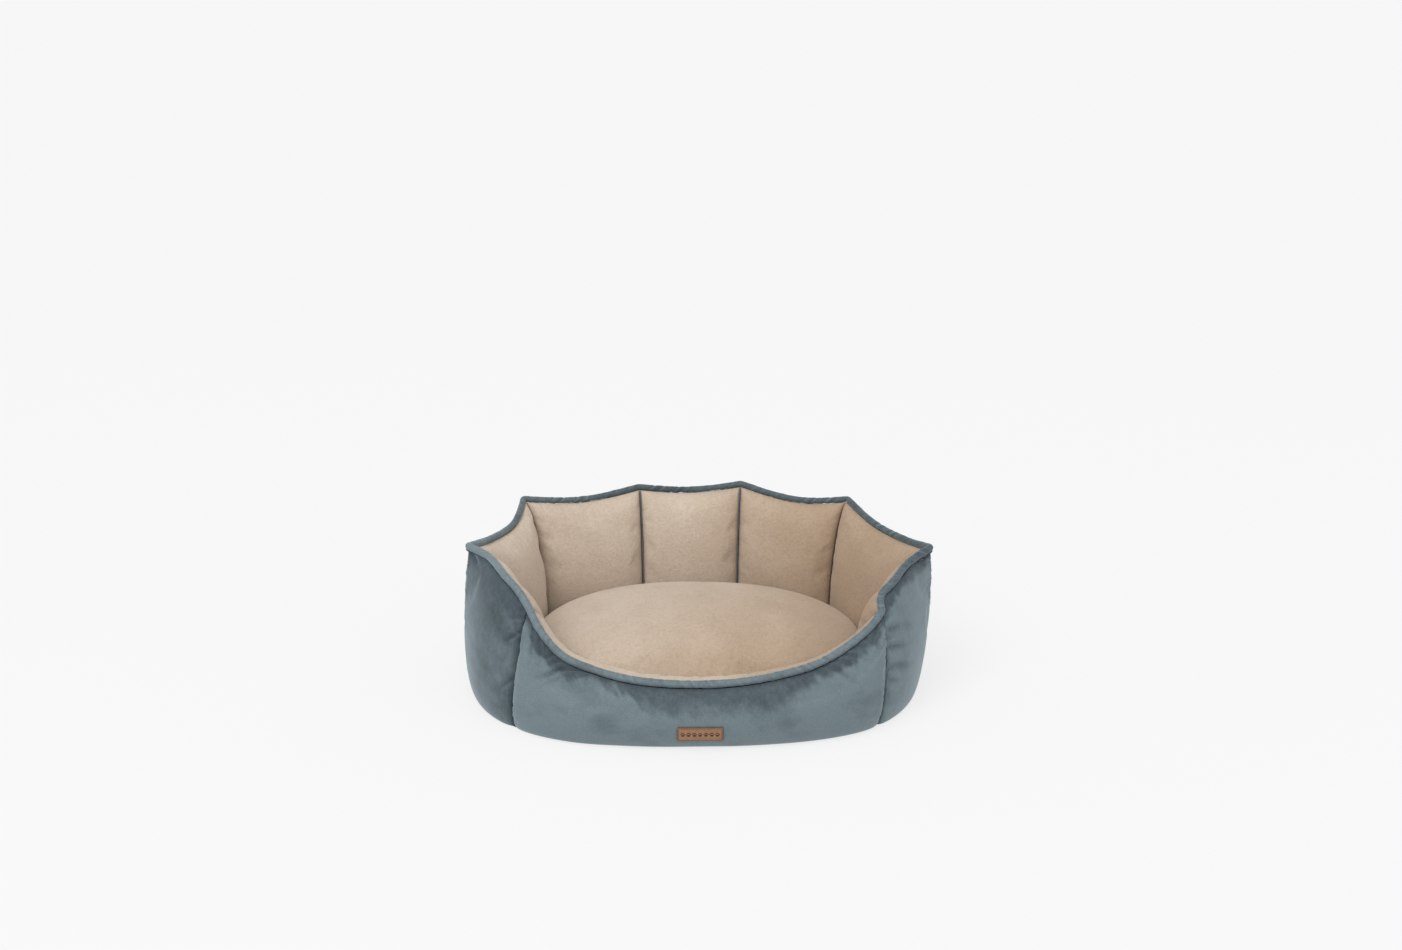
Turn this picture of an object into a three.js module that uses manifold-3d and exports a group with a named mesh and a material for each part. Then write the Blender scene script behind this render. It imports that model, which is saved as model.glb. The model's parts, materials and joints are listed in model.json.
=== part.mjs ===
// An oval pet bed with a padded wall of eight stuffed chambers, a low front, a piped rim and a loose
// cushion with a zipped cover. Millimetres, +Z up, front towards -Y, origin on the floor under the
// middle of the bed's box.
import * as THREE from "three";
import { mergeVertices } from "three/addons/utils/BufferGeometryUtils.js";
import Module from "manifold-3d";

const wasm = await Module();
wasm.setup();

// ---- driving dimensions -------------------------------------------------------------------------
const GAP = 0.35; // clearance kept between pieces that touch on the real bed
const PLAN = { a: 314, b: 237, power: 2.3, x: -4, y: -6 }; // the base outline, a rounded superellipse
const VELVET = 1.5; // thickness of the outer cover
const PLUSH = 2.5; // thickness of the lining and of the cushion's cover
const DIVIDER = 1.0; // non-woven sheet between two chambers
const CREASE = 34; // distance from a seam over which a chamber swells to its full thickness
const PIPING = { radius: 4.6, cloth: 1.1, slit: 0.16 }; // slit: half opening of the folded strip, radians
const BASE = { cloth: 2, wadding: 4.6, lining: 1.9 };
const LIFT = BASE.cloth + GAP; // height at which the wall stands on the base cloth
const CUSHION = {
  a: 229, b: 159, power: 2.4, x: -3, y: -5, // the oval's half length and width, its corners and its middle
  bottom: 9.55, seam: 46, crown: 108, hollow: 7, // heights; the underside is hollow by 7 in the middle
};
const ZIP = { length: 280, tape: 12, row: 2.2, rowHeight: 1.8, between: 1.2, cloth: 0.8 };
const LABEL = { width: 60, height: 20, thickness: 1.6, x: 8, z: 27, inset: 2.2, thread: 0.35 };

// The rim from seam to seam, counter-clockwise from above: each chamber's line of piping starts at its
// first corner and ends at the next chamber's. The back stands 200 high and the front scoops to 84.
const corner = {
  front_left: [-222, -148, 156],
  front_right: [246, -138, 152],
  right: [316, -34, 203],
  back_right: [211, 160, 205],
  back: [56, 220, 207],
  back_left: [-94, 208, 205],
  left: [-258, 146, 204],
  side_left: [-316, -34, 203],
};
const rimLine = {
  front: [
    corner.front_left, [-207, -166, 134], [-178, -188, 108], [-124, -209, 92], [0, -228, 84],
    [111, -213, 92], [163, -195, 102], [203, -173, 119], [236, -149, 141], corner.front_right,
  ],
  side_right: [corner.front_right, [246, -119, 168], [260, -112, 182], [280, -76, 193], corner.right],
  right: [corner.right, [285, 26, 192], [244, 98, 191], corner.back_right],
  back_right: [corner.back_right, [150, 183, 192], corner.back],
  back: [corner.back, [-20, 212, 197], corner.back_left],
  back_left: [corner.back_left, [-178, 176, 193], corner.left],
  left: [corner.left, [-265, 90, 189], [-288, 27, 189], corner.side_left],
  side_left: [corner.side_left, [-287, -60, 196], [-254, -118, 187], [-237, -133, 174], corner.front_left],
};
const CELLS_LONG = 20; // along the front chamber
const CELLS_SHORT = 8; // along each other chamber
const SHARES = [0, 0.14, 0.34, 0.55, 0.74, 0.89, 1]; // stations up the wall's profile
const FILL_ROWS = SHARES.length - 1; // the fibre stops at the last station below the rim
const SEAM_STEPS = [0, 5, 14, 28]; // distances from a seam of the first stations on each side of it

// ---- helpers ------------------------------------------------------------------------------------
const mix = (a, b, t) => a + (b - a) * t;

// A closed body from two grids of points that face each other: outer[i][j] and inner[i][j].
function bodyBetween(outer, inner) {
  const rows = outer.length;
  const columns = outer[0].length;
  const positions = [...outer.flat(), ...inner.flat()].flatMap((p) => [p.x, p.y, p.z]);
  const index = [];
  const at = (side, i, j) => side * rows * columns + i * columns + j;
  const quad = (a, b, c, d) => index.push(a, b, c, a, c, d);
  for (let i = 0; i < rows - 1; i++)
    for (let j = 0; j < columns - 1; j++) {
      quad(at(0, i, j), at(0, i + 1, j), at(0, i + 1, j + 1), at(0, i, j + 1));
      quad(at(1, i, j), at(1, i, j + 1), at(1, i + 1, j + 1), at(1, i + 1, j));
    }
  for (let i = 0; i < rows - 1; i++) {
    quad(at(0, i, 0), at(1, i, 0), at(1, i + 1, 0), at(0, i + 1, 0));
    quad(at(0, i, columns - 1), at(0, i + 1, columns - 1), at(1, i + 1, columns - 1), at(1, i, columns - 1));
  }
  for (let j = 0; j < columns - 1; j++) {
    quad(at(0, 0, j), at(0, 0, j + 1), at(1, 0, j + 1), at(1, 0, j));
    quad(at(0, rows - 1, j), at(1, rows - 1, j), at(1, rows - 1, j + 1), at(0, rows - 1, j + 1));
  }
  const geometry = new THREE.BufferGeometry();
  geometry.setAttribute("position", new THREE.Float32BufferAttribute(positions, 3));
  geometry.setIndex(index);
  return geometry;
}

// A ring of the given section, [across, up] points in order, swept round a closed line of points.
function ringAlong(line, section, up = new THREE.Vector3(0, 0, 1)) {
  const count = line.length;
  const positions = [];
  const index = [];
  line.forEach((p, i) => {
    const before = line[(i + count - 1) % count];
    const after = line[(i + 1) % count];
    const forward = after.clone().sub(p).normalize().add(p.clone().sub(before).normalize()).normalize();
    const across = forward.clone().cross(up).normalize();
    const upright = across.clone().cross(forward).normalize();
    for (const [x, y] of section) {
      const q = p.clone().addScaledVector(across, x).addScaledVector(upright, y);
      positions.push(q.x, q.y, q.z);
    }
  });
  const sides = section.length;
  for (let i = 0; i < count; i++)
    for (let k = 0; k < sides; k++) {
      const a = i * sides + k;
      const b = i * sides + ((k + 1) % sides);
      const c = ((i + 1) % count) * sides + ((k + 1) % sides);
      const d = ((i + 1) % count) * sides + k;
      index.push(a, c, b, a, d, c);
    }
  const geometry = new THREE.BufferGeometry();
  geometry.setAttribute("position", new THREE.Float32BufferAttribute(positions, 3));
  geometry.setIndex(index);
  return geometry;
}

// manifold-3d solids, used only to cut and join.
function solid(geometry) {
  const bare = geometry.clone();
  bare.deleteAttribute("normal");
  bare.deleteAttribute("uv");
  const merged = mergeVertices(bare, 1e-4);
  const vertProperties = new Float32Array(merged.attributes.position.array);
  const triVerts = new Uint32Array(merged.index.array);
  return new wasm.Manifold(new wasm.Mesh({ numProp: 3, vertProperties, triVerts }));
}

function geometryOf(manifold) {
  const mesh = manifold.getMesh();
  const geometry = new THREE.BufferGeometry();
  geometry.setAttribute("position", new THREE.Float32BufferAttribute(mesh.vertProperties, 3));
  geometry.setIndex(new THREE.BufferAttribute(mesh.triVerts, 1));
  return geometry;
}

function box(length, width, height, x, y, z) {
  return new THREE.BoxGeometry(length, width, height).translate(x, y, z);
}

// A flat plate with the outline of a list of points, from one height to another.
function plate(outline, low, high) {
  const shape = new THREE.Shape(outline.map((p) => new THREE.Vector2(p.x, p.y)));
  return new THREE.ExtrudeGeometry(shape, { depth: high - low, bevelEnabled: false }).translate(0, 0, low);
}

const root = new THREE.Group();

function add(name, geometry, material) {
  const mesh = new THREE.Mesh(geometry, material);
  mesh.name = name;
  root.add(mesh);
  return mesh;
}

const finish = (color, roughness, metalness = 0) =>
  new THREE.MeshStandardMaterial({ color, roughness, metalness });
const velvet = finish(0x6f8088, 0.75);
const plush = finish(0xbda98f, 0.95);
const fibre = finish(0xf2efe8, 1);
const interlining = finish(0xe6e2da, 0.9);
const nonSlip = finish(0x2f3436, 0.8);
const cotton = finish(0xe8e0cf, 0.9);
const tapeCloth = finish(0xb5a58e, 0.8);
const nylon = finish(0xa8987f, 0.5);
const zinc = finish(0x8f8f8c, 0.35, 0.9);
const leather = finish(0xa06a48, 0.55);
const thread = finish(0x5a3a26, 0.7);

// ---- the wall -----------------------------------------------------------------------------------
const rimCurve = (line) =>
  new THREE.CatmullRomCurve3(line.map((p) => new THREE.Vector3(...p)), false, "centripetal");

// The base outline's radius at a polar angle.
function baseRadius(angle) {
  const across = Math.abs(Math.cos(angle) / PLAN.a) ** PLAN.power;
  const along = Math.abs(Math.sin(angle) / PLAN.b) ** PLAN.power;
  return (across + along) ** (-1 / PLAN.power);
}

// One section through the wall, in the upright plane through a rim point: where the rim and the base
// stand, and the level direction that points out of the bed.
// `level` is the cosine of the piping's slope there.
function sectionAt(rim, level = 1) {
  const angle = Math.atan2(rim.y - PLAN.y, rim.x - PLAN.x);
  const radius = baseRadius(angle);
  const foot = new THREE.Vector3(PLAN.x + radius * Math.cos(angle), PLAN.y + radius * Math.sin(angle), 0);
  const slope = (value, size) => (Math.sign(value) * Math.abs(value / size) ** (PLAN.power - 1)) / size;
  const outward = new THREE.Vector3(slope(foot.x - PLAN.x, PLAN.a), slope(foot.y - PLAN.y, PLAN.b), 0);
  return { rim, foot, outward: outward.normalize(), level };
}

// How far a chamber has swollen at a distance from its nearest seam: 0 at the seam, 1 past CREASE.
function swell(distance) {
  const t = 1 - Math.min(1, Math.max(0, distance / CREASE));
  return Math.sqrt(1 - t * t);
}

// The wall's outer or inner profile in a section, a cubic curve from the base to the rim, moved into
// the wall by `depth`. Its control points are [how far out, how high].
function profile(section, full, side, share, depth) {
  const reach = section.foot.clone().sub(section.rim).setZ(0).dot(section.outward);
  const top = section.rim.z - (PIPING.radius + 1.5 * GAP) / section.level;
  const low = section.rim.z < 140 ? (140 - section.rim.z) / 56 : 0; // 1 at the front's lowest place
  const outer = [
    [reach - 9 * (1 - full) + 1, LIFT],
    [reach + 2 + 15 * full + 2 * low, mix(LIFT, top, 0.36)],
    [4 + 9 * full + 6 * low, mix(LIFT, top, 0.93)],
    [VELVET + GAP, top],
  ];
  const inner = [
    [-40 - 6 * full - 8 * low, LIFT],
    [-44 - 12 * full - 10 * low, mix(LIFT, top, 0.36)],
    [-20 - 15 * full - 8 * low, mix(LIFT, top, 0.97)],
    [-PLUSH - GAP, top],
  ];
  const points = (side > 0 ? outer : inner).map(([x, y]) => new THREE.Vector2(x, y));
  const curve = new THREE.CubicBezierCurve(...points);
  const at = curve.getPoint(share);
  const along = curve.getTangent(share);
  // The normal that points into the wall: to the left of the upward line on the outer side.
  at.x += -side * along.y * depth;
  at.y += side * along.x * depth;
  const height = Math.max(at.y, LIFT);
  return section.rim.clone().setZ(height).addScaledVector(section.outward, at.x);
}

// Stations crowd towards the two seams, where the surface turns fastest.
function stationAt(i, cells, length) {
  const last = SEAM_STEPS.length - 1;
  if (i <= last) return SEAM_STEPS[i];
  if (i >= cells - last) return length - SEAM_STEPS[cells - i];
  return mix(SEAM_STEPS[last], length - SEAM_STEPS[last], (i - last) / (cells - 2 * last));
}

// Grids of points over a chamber's outer or inner face. `trim` is the bare distance left at each seam.
function faceGrid(line, cells, side, depth, trim, rows = SHARES.length) {
  const curve = rimCurve(line);
  const length = curve.getLength();
  return Array.from({ length: cells + 1 }, (_, i) => {
    const distance = stationAt(i, cells, length);
    const tangent = curve.getTangentAt(distance / length);
    const section = sectionAt(curve.getPointAt(distance / length), Math.hypot(tangent.x, tangent.y));
    const full = swell(Math.min(distance, length - distance));
    const along = new THREE.Vector3(-section.outward.y, section.outward.x, 0);
    const shift = i === 0 ? trim : i === cells ? -trim : 0;
    return SHARES.slice(0, rows).map((share) =>
      profile(section, full, side, share, depth).addScaledVector(along, shift),
    );
  });
}

const ROOM = 1.6; // between the fibre and the cloth round it
const SEAM_EDGE = 0.3; // from a seam's middle to the edge of a panel
const FILL_EDGE = DIVIDER / 2 + GAP;
for (const [name, line] of Object.entries(rimLine)) {
  const cells = name === "front" ? CELLS_LONG : CELLS_SHORT;
  const grid = (side, depth, trim, rows) => faceGrid(line, cells, side, depth, trim, rows);
  add(`cover_${name}`, bodyBetween(grid(1, 0, SEAM_EDGE), grid(1, VELVET, SEAM_EDGE)), velvet);
  add(`lining_${name}`, bodyBetween(grid(-1, PLUSH, SEAM_EDGE), grid(-1, 0, SEAM_EDGE)), plush);
  const outer = grid(1, VELVET + ROOM, FILL_EDGE, FILL_ROWS);
  const inner = grid(-1, PLUSH + ROOM, FILL_EDGE, FILL_ROWS);
  add(`filling_${name}`, bodyBetween(outer, inner), fibre);
}

// A divider closes each seam between the cover and the lining, so that the fibre stays in its chamber.
for (const [name, point] of Object.entries(corner)) {
  const rim = new THREE.Vector3(...point);
  const section = sectionAt(rim);
  const along = new THREE.Vector3(-section.outward.y, section.outward.x, 0);
  const side = (offset) =>
    [1, -1].map((face) =>
      SHARES.slice(0, FILL_ROWS).map((share) =>
        profile(section, 0, face, share, (face > 0 ? VELVET : PLUSH) + ROOM).addScaledVector(along, offset),
      ),
    );
  add(`divider_${name}`, bodyBetween(side(DIVIDER / 2), side(-DIVIDER / 2)), interlining);
}

// ---- the rim ------------------------------------------------------------------------------------
function rimPoints() {
  return Object.entries(rimLine).flatMap(([name, line]) => {
    const cells = name === "front" ? CELLS_LONG : CELLS_SHORT;
    const curve = rimCurve(line);
    const length = curve.getLength();
    return Array.from({ length: cells }, (_, i) => curve.getPointAt(stationAt(i, cells, length) / length));
  });
}

function arc(radius, from, to, steps) {
  return Array.from({ length: steps + 1 }, (_, i) => {
    const angle = mix(from, to, i / steps);
    return [radius * Math.cos(angle), radius * Math.sin(angle)];
  });
}

const down = -Math.PI / 2;
const strip = [
  ...arc(PIPING.radius, down + PIPING.slit, down + 2 * Math.PI - PIPING.slit, 7),
  ...arc(PIPING.radius - PIPING.cloth, down + 2 * Math.PI - PIPING.slit, down + PIPING.slit, 7),
];
add("rim_piping", ringAlong(rimPoints(), strip), velvet);
const cord = arc(PIPING.radius - PIPING.cloth - 2 * GAP, down, down + 2 * Math.PI, 7).slice(0, -1);
add("piping_cord", ringAlong(rimPoints(), cord), cotton);

// ---- the base -----------------------------------------------------------------------------------
// The outline of the wall's foot on its outer or inner side, all the way round.
function footOutline(side, inset) {
  return Object.entries(rimLine).flatMap(([name, line]) => {
    const cells = name === "front" ? CELLS_LONG : CELLS_SHORT;
    return faceGrid(line, cells, side, 0, 0)
      .slice(0, -1)
      .map((column) => {
        const outward = sectionAt(column[SHARES.length - 1]).outward;
        return column[0].clone().addScaledVector(outward, -inset);
      });
  });
}

const floorOutline = footOutline(-1, 2.6);
const waddingTop = LIFT + BASE.wadding;
add("base_cloth", plate(footOutline(1, 0), 0, BASE.cloth), nonSlip);
add("base_wadding", plate(floorOutline, LIFT, waddingTop), fibre);
add("floor_lining", plate(floorOutline, waddingTop + GAP, waddingTop + GAP + BASE.lining), plush);

// ---- the cushion --------------------------------------------------------------------------------
// Half profiles, from the middle out to the seam, for a face moved into the cushion by `depth`.
const ROUND = 28;
const RINGS = 7;

function crownProfile(depth) {
  const { a, seam, crown } = CUSHION;
  return Array.from({ length: RINGS + 1 }, (_, i) => {
    const angle = (i / RINGS) * (Math.PI / 2);
    const x = (a - depth) * Math.sin(angle) ** 0.9;
    const y = seam + GAP / 2 + (crown - seam - depth) * Math.cos(angle) ** 0.85;
    return new THREE.Vector2(i ? x : 0, i < RINGS ? y : seam + GAP / 2);
  });
}

// The underside lies flat on a ring, and is hollow in the middle, where the zip is.
function undersideProfile(depth) {
  const { a, seam, bottom, hollow } = CUSHION;
  const flat = bottom + depth;
  return [
    [0, flat + hollow],
    [0.71 * a, flat + hollow],
    [0.76 * a, flat],
    [0.85 * a, flat],
    [0.94 * a - 0.5 * depth, mix(flat, seam, 0.22)],
    [0.985 * a - 0.8 * depth, mix(flat, seam, 0.58)],
    [a - depth, seam - GAP / 2],
  ].map(([x, y]) => new THREE.Vector2(x, y));
}

// Turns a half profile round the upright axis and stretches the circle to the cushion's rounded oval.
function oval(points) {
  const geometry = new THREE.LatheGeometry(points, ROUND).rotateX(Math.PI / 2);
  const place = geometry.attributes.position;
  for (let i = 0; i < place.count; i++) {
    const radius = Math.hypot(place.getX(i), place.getY(i));
    if (radius < 1e-6) continue;
    const cos = place.getX(i) / radius;
    const sin = place.getY(i) / radius;
    const reach = Math.abs(cos) ** CUSHION.power + Math.abs((sin * CUSHION.a) / CUSHION.b) ** CUSHION.power;
    const stretch = radius * reach ** (-1 / CUSHION.power);
    place.setXY(i, stretch * cos, stretch * sin);
  }
  return geometry.translate(CUSHION.x, CUSHION.y, 0);
}

const crownShell = oval([...crownProfile(PLUSH)].concat([...crownProfile(0)].reverse()));
add("cushion_top", crownShell, plush);

const underShell = solid(oval([...undersideProfile(0)].concat([...undersideProfile(PLUSH)].reverse())));
const slotWidth = 2 * ZIP.tape + ZIP.between - 4;
const zipSlot = solid(box(ZIP.length + 8, slotWidth, 40, CUSHION.x, CUSHION.y, CUSHION.bottom));
const half = (sign) => solid(box(700, 400, 200, 0, CUSHION.y + sign * (200 + GAP / 2), 0));
for (const [name, sign] of [["front", -1], ["rear", 1]])
  add(`cushion_underside_${name}`, geometryOf(underShell.subtract(zipSlot).intersect(half(sign))), plush);

const ZIP_ROOM = 3.2; // the fibre stays this far above the zip
const fillDepth = PLUSH + GAP;
const fillProfile = [...undersideProfile(fillDepth)]
  .map((p, i) => (i < 2 ? p.clone().setY(p.y + ZIP_ROOM) : p))
  .concat([...crownProfile(fillDepth)].reverse().slice(1));
add("cushion_filling", oval(fillProfile), fibre);

// ---- the zip ------------------------------------------------------------------------------------
// Two tapes lie over the slot, inside the cover. Their coils face down, and the slider rides on them.
const zipHeight = CUSHION.bottom + CUSHION.hollow + PLUSH + GAP;
const zipMiddle = CUSHION.y;
const coilTop = zipHeight - GAP;
for (const [name, sign] of [["front", -1], ["rear", 1]]) {
  const tapeMiddle = zipMiddle + sign * (ZIP.between / 2 + ZIP.tape / 2);
  const rowMiddle = zipMiddle + sign * (ZIP.between / 2 + ZIP.row / 2);
  const tape = box(ZIP.length, ZIP.tape, ZIP.cloth, CUSHION.x, tapeMiddle, zipHeight + ZIP.cloth / 2);
  add(`zip_tape_${name}`, tape, tapeCloth);
  add(
    `zip_coil_${name}`,
    box(ZIP.length - 12, ZIP.row, ZIP.rowHeight, CUSHION.x, rowMiddle, coilTop - ZIP.rowHeight / 2),
    nylon,
  );
}
for (const [name, sign] of [["left", -1], ["right", 1]]) {
  const x = CUSHION.x + sign * (ZIP.length / 2 - 6 + 0.5 + GAP + 1);
  const width = ZIP.between + 2 * ZIP.row;
  add(`zip_stop_${name}`, box(2, width, ZIP.rowHeight, x, zipMiddle, coilTop - ZIP.rowHeight / 2), zinc);
}

// The slider: an I-shaped section whose web runs between the rows, with lips that hold the coils in.
const SLIDER = { length: 11, halfWidth: 4.3, plate: 0.9, lip: 0.7, web: 0.35, clear: 0.35 };
const sliderStart = CUSHION.x - ZIP.length / 2 + 6 + SLIDER.length / 2 + 2;
const plateTop = coilTop - ZIP.rowHeight - SLIDER.clear;
const plateBottom = plateTop - SLIDER.plate;
const wingBottom = zipHeight + ZIP.cloth + SLIDER.clear;
const wingTop = wingBottom + SLIDER.plate;
function sliderSection() {
  const { halfWidth: w, lip, web } = SLIDER;
  const lipTop = plateTop + 1.1;
  return [
    [-w, plateBottom], [w, plateBottom], [w, lipTop], [w - lip, lipTop], [w - lip, plateTop],
    [web, plateTop], [web, wingBottom], [w, wingBottom], [w, wingTop],
    [-w, wingTop], [-w, wingBottom], [-web, wingBottom], [-web, plateTop],
    [-w + lip, plateTop], [-w + lip, lipTop], [-w, lipTop],
  ].map(([x, y]) => new THREE.Vector2(x, y));
}
// Extrudes a section drawn in (across, up) along X.
function alongX(shape, length, x) {
  return new THREE.ExtrudeGeometry(shape, { depth: length, bevelEnabled: false })
    .rotateX(Math.PI / 2)
    .rotateZ(Math.PI / 2)
    .translate(x - length / 2, zipMiddle, 0);
}
// The bail under the slider is a low bridge that the pull's eye hangs on.
const BAIL = { length: 5, width: 1.6, height: 2.3, bar: 0.8 };
const windowHeight = BAIL.height - BAIL.bar;
const bail = solid(
  box(BAIL.length, BAIL.width, BAIL.height, sliderStart, zipMiddle, plateBottom - BAIL.height / 2 + 0.05),
).subtract(
  solid(
    box(BAIL.length - 1.6, 4, windowHeight, sliderStart, zipMiddle, plateBottom - windowHeight / 2 + 0.05),
  ),
);
const sliderBody = solid(alongX(new THREE.Shape(sliderSection()), SLIDER.length, sliderStart));
add("zip_slider", geometryOf(sliderBody.add(bail)), zinc);

// The pull lies flat along the zip. Its eye goes round the bail's bar.
const PULL = { length: 19, width: 5, thickness: 0.9, eye: 3.5 };
const eyeX = sliderStart;
const pullZ = plateBottom - windowHeight / 2;
const pullPlate = box(
  PULL.length, PULL.width, PULL.thickness, eyeX + PULL.length / 2 - 1.4, zipMiddle, pullZ,
);
const eye = box(PULL.eye, BAIL.width + 0.9, 4, eyeX - 0.3 + PULL.eye / 2, zipMiddle, pullZ);
add("zip_pull", geometryOf(solid(pullPlate).subtract(solid(eye))), zinc);

// ---- the label ----------------------------------------------------------------------------------
// The front cover's outer face at a place given by [x, z], and the level direction out of it.
function frontFace(x, z) {
  const curve = rimCurve(rimLine.front);
  const length = curve.getLength();
  const solve = (test, steps = 40) => {
    let low = 0;
    let high = 1;
    for (let i = 0; i < steps; i++) {
      const middle = (low + high) / 2;
      if (test(middle)) low = middle;
      else high = middle;
    }
    return (low + high) / 2;
  };
  const at = (u, share) => {
    const distance = u * length;
    const full = swell(Math.min(distance, length - distance));
    return profile(sectionAt(curve.getPointAt(u)), full, 1, share, 0);
  };
  const u = solve((v) => at(v, 0.3).x < x);
  const share = solve((v) => at(u, v).z < z);
  return { point: at(u, share), outward: sectionAt(curve.getPointAt(u)).outward };
}
function labelGrid(height) {
  return Array.from({ length: 7 }, (_, i) =>
    Array.from({ length: 3 }, (_, j) => {
      const x = LABEL.x + (i / 6 - 0.5) * LABEL.width;
      const z = LABEL.z + (j / 2 - 0.5) * LABEL.height;
      const { point, outward } = frontFace(x, z);
      return point.addScaledVector(outward, height);
    }),
  );
}
const labelBack = 0.9; // the front cover's facets bow out this far between their corners
add("label_patch", bodyBetween(labelGrid(labelBack + LABEL.thickness), labelGrid(labelBack)), leather);

function labelStitchLine() {
  const w = LABEL.width / 2 - LABEL.inset;
  const h = LABEL.height / 2 - LABEL.inset;
  const corners = [[-w, -h], [w, -h], [w, h], [-w, h], [-w, -h]];
  const path = new THREE.Path(corners.map(([x, y]) => new THREE.Vector2(x, y)));
  return path.getSpacedPoints(28).slice(0, -1).map((p) => {
    const { point, outward } = frontFace(LABEL.x + p.x, LABEL.z + p.y);
    return point.addScaledVector(outward, labelBack + LABEL.thickness + 0.5 + LABEL.thread);
  });
}
const stitchSection = arc(LABEL.thread, 0, 2 * Math.PI, 6).slice(0, -1);
add("label_thread", ringAlong(labelStitchLine(), stitchSection, new THREE.Vector3(0, -1, 0)), thread);

// The origin is the middle of the bed's box, on the floor.
const middle = new THREE.Box3().setFromObject(root).getCenter(new THREE.Vector3());
root.position.set(-middle.x, -middle.y, 0);

export default root;
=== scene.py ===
# %% [markdown]
# # An oval pet bed in velvet and plush
#
# The bed is a ring of eight stuffed chambers on a flat base, with a loose cushion in the middle. Each
# chamber has a velvet panel outside and a plush panel inside. The panels meet at upright seams, where
# the fibre can't push them apart, and at the rim, where a cord folded in velvet closes the edge.
#
# The fixed frame from the CAD step is loaded first. Its nodes aren't moved. Every new piece is a
# surface worked out with numpy, stands in the same place as its node, and then takes that node's place.

import json
import math

import bpy
import numpy as np
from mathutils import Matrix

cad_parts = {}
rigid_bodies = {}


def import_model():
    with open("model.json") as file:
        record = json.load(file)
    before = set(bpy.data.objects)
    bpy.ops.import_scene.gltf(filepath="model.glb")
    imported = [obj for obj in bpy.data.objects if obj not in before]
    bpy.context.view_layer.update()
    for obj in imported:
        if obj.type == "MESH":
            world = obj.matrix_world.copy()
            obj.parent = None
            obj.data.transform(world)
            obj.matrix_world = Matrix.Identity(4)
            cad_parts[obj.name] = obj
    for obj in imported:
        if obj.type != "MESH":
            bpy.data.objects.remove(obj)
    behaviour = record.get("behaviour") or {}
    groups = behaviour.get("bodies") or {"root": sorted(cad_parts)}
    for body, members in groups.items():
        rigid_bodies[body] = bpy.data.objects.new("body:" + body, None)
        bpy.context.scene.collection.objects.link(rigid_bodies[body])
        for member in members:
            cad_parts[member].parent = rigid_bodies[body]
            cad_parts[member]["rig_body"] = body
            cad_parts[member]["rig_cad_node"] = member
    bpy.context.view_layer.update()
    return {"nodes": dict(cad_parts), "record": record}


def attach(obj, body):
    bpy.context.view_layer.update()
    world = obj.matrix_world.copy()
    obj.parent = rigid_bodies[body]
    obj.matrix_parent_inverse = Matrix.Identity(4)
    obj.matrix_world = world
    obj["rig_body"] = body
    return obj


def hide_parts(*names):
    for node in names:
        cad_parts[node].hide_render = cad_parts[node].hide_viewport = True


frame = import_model()
MM = 0.001
SHIFT = np.array([2.341, 9.120, 0.0])  # from the bed's own layout to the frame's middle, mm
print("nodes in the frame:", len(frame["nodes"]))

# %% [markdown]
# ## Grids, meshes and ripples
#
# A piece of cloth is a grid of points: one parameter runs along the seam, the other up the panel. The
# first helper turns a grid into a mesh of four-sided faces. Neighbouring columns can be joined at the
# end, which makes a closed tube. The second gives a row of gentle ripples that looks sewn by hand.


# %% Mesh from a grid
def grid_faces(rows, columns, wrap_rows=False, wrap_columns=False, turn=False):
    """Corner numbers of the face between (i, j), (i+1, j), (i+1, j+1) and (i, j+1), for all i and j."""
    i = np.arange(rows if wrap_rows else rows - 1)[:, None]
    j = np.arange(columns if wrap_columns else columns - 1)[None, :]
    near, far = i * columns, (i + 1) % rows * columns
    left, right = j, (j + 1) % columns
    corners = [near + left, far + left, far + right, near + right]
    faces = np.stack([np.broadcast_to(c, (i.size, j.size)) for c in corners], -1).reshape(-1, 4)
    return faces[:, ::-1] if turn else faces


def place(name, data):
    """A new object in the scene that holds the given mesh, lamp or camera."""
    thing = bpy.data.objects.new(name, data)
    bpy.context.scene.collection.objects.link(thing)
    return thing


def mesh_object(name, points, faces, material=None):
    """A smooth-shaded object from points in bed millimetres and an array of equal-sided faces."""
    mesh = bpy.data.meshes.new(name)
    sides = faces.shape[1]
    mesh.vertices.add(len(points))
    mesh.vertices.foreach_set("co", ((points + SHIFT) * MM).astype(np.float32).ravel())
    mesh.loops.add(faces.size)
    mesh.loops.foreach_set("vertex_index", faces.astype(np.int32).ravel())
    mesh.polygons.add(len(faces))
    mesh.polygons.foreach_set("loop_start", np.arange(0, faces.size, sides, dtype=np.int32))
    mesh.update(calc_edges=True)
    mesh.validate()
    mesh.shade_smooth()
    if material:
        mesh.materials.append(material)
    return place(name, mesh)


def cloth_object(name, grid, material, turn=False, wrap_rows=False, wrap_columns=False):
    """An object whose surface passes through grid[i, j]."""
    rows, columns = grid.shape[:2]
    faces = grid_faces(rows, columns, wrap_rows, wrap_columns, turn)
    return mesh_object(name, grid.reshape(-1, 3), faces, material)


# %% Ripples
def ripple(along, lengths, seed):
    """Sum of cosines of the given wavelengths with random phases, scaled to about -1 to 1."""
    phase = np.random.default_rng(seed).uniform(0, 2 * np.pi, len(lengths))
    waves = [np.cos(2 * np.pi * along / w + p) for w, p in zip(lengths, phase)]
    return sum(waves) / math.sqrt(len(lengths))


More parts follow.
